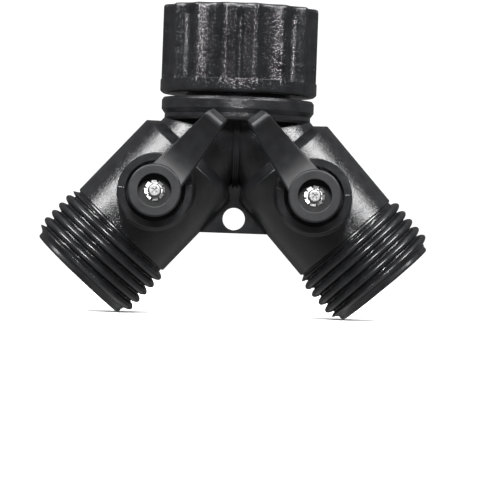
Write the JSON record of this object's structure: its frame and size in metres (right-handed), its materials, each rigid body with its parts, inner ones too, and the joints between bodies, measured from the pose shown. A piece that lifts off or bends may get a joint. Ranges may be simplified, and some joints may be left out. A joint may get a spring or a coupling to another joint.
{
  "type": "hose splitter",
  "caption": "Black plastic Y-shaped garden-hose splitter with a swivel inlet nut, a lever shut-off valve in each arm and male-thread outlets.",
  "frame": {"origin": "centre of the inlet nut's open face, where a tap goes in", "axes": "+Z along the inlet axis out of the nut, X across the two outlets, -Y towards the valve levers"},
  "size_m": [0.0834, 0.0496, 0.0664],
  "materials": {
    "body_plastic": "fine spark-eroded texture, black",
    "nut_plastic": "fine spark-eroded texture, black",
    "outlet_plastic": "smooth satin, black",
    "lever_plastic": "smooth satin, black",
    "white_plastic": "satin, white",
    "washer_rubber": "matte, black",
    "o_ring_rubber": "matte, black",
    "seat_rubber": "matte, dark grey",
    "screw_steel": "bright zinc plate",
    "lock_washer_steel": "bright zinc plate",
    "stem_plastic": "smooth, black",
    "ball_plastic": "polished, black"
  },
  "bodies": {
    "splitter": {"body": "body_plastic", "swivel_sleeve": "white_plastic", "sleeve_o_ring": "o_ring_rubber", "inlet_washer": "washer_rubber", "outlet_left": "outlet_plastic", "seat_inner_left": "seat_rubber", "seat_outer_left": "seat_rubber", "outlet_right": "outlet_plastic", "seat_inner_right": "seat_rubber", "seat_outer_right": "seat_rubber"},
    "nut": {"swivel_nut": "nut_plastic"},
    "valve_left": {"lever_left": "lever_plastic", "lever_screw_left": "screw_steel", "lock_washer_left": "lock_washer_steel", "stem_left": "stem_plastic", "stem_o_rings_left": "o_ring_rubber", "ball_left": "ball_plastic"},
    "valve_right": {"lever_right": "lever_plastic", "lever_screw_right": "screw_steel", "lock_washer_right": "lock_washer_steel", "stem_right": "stem_plastic", "stem_o_rings_right": "o_ring_rubber", "ball_right": "ball_plastic"}
  },
  "joints": [
    {"name": "nut_swivel", "type": "hinge", "parent": "splitter", "child": "nut", "pos_m": [0, 0, 0], "axis": [0, 0, 1], "continuous": true},
    {"name": "valve_left_turn", "type": "hinge", "parent": "splitter", "child": "valve_left", "pos_m": [-0.01659, 0, -0.04033], "axis": [0, -1, 0], "range_deg": [-3.5, 86.5]},
    {"name": "valve_right_turn", "type": "hinge", "parent": "splitter", "child": "valve_right", "pos_m": [0.01659, 0, -0.04033], "axis": [0, 1, 0], "range_deg": [-3.5, 86.5]}
  ]
}
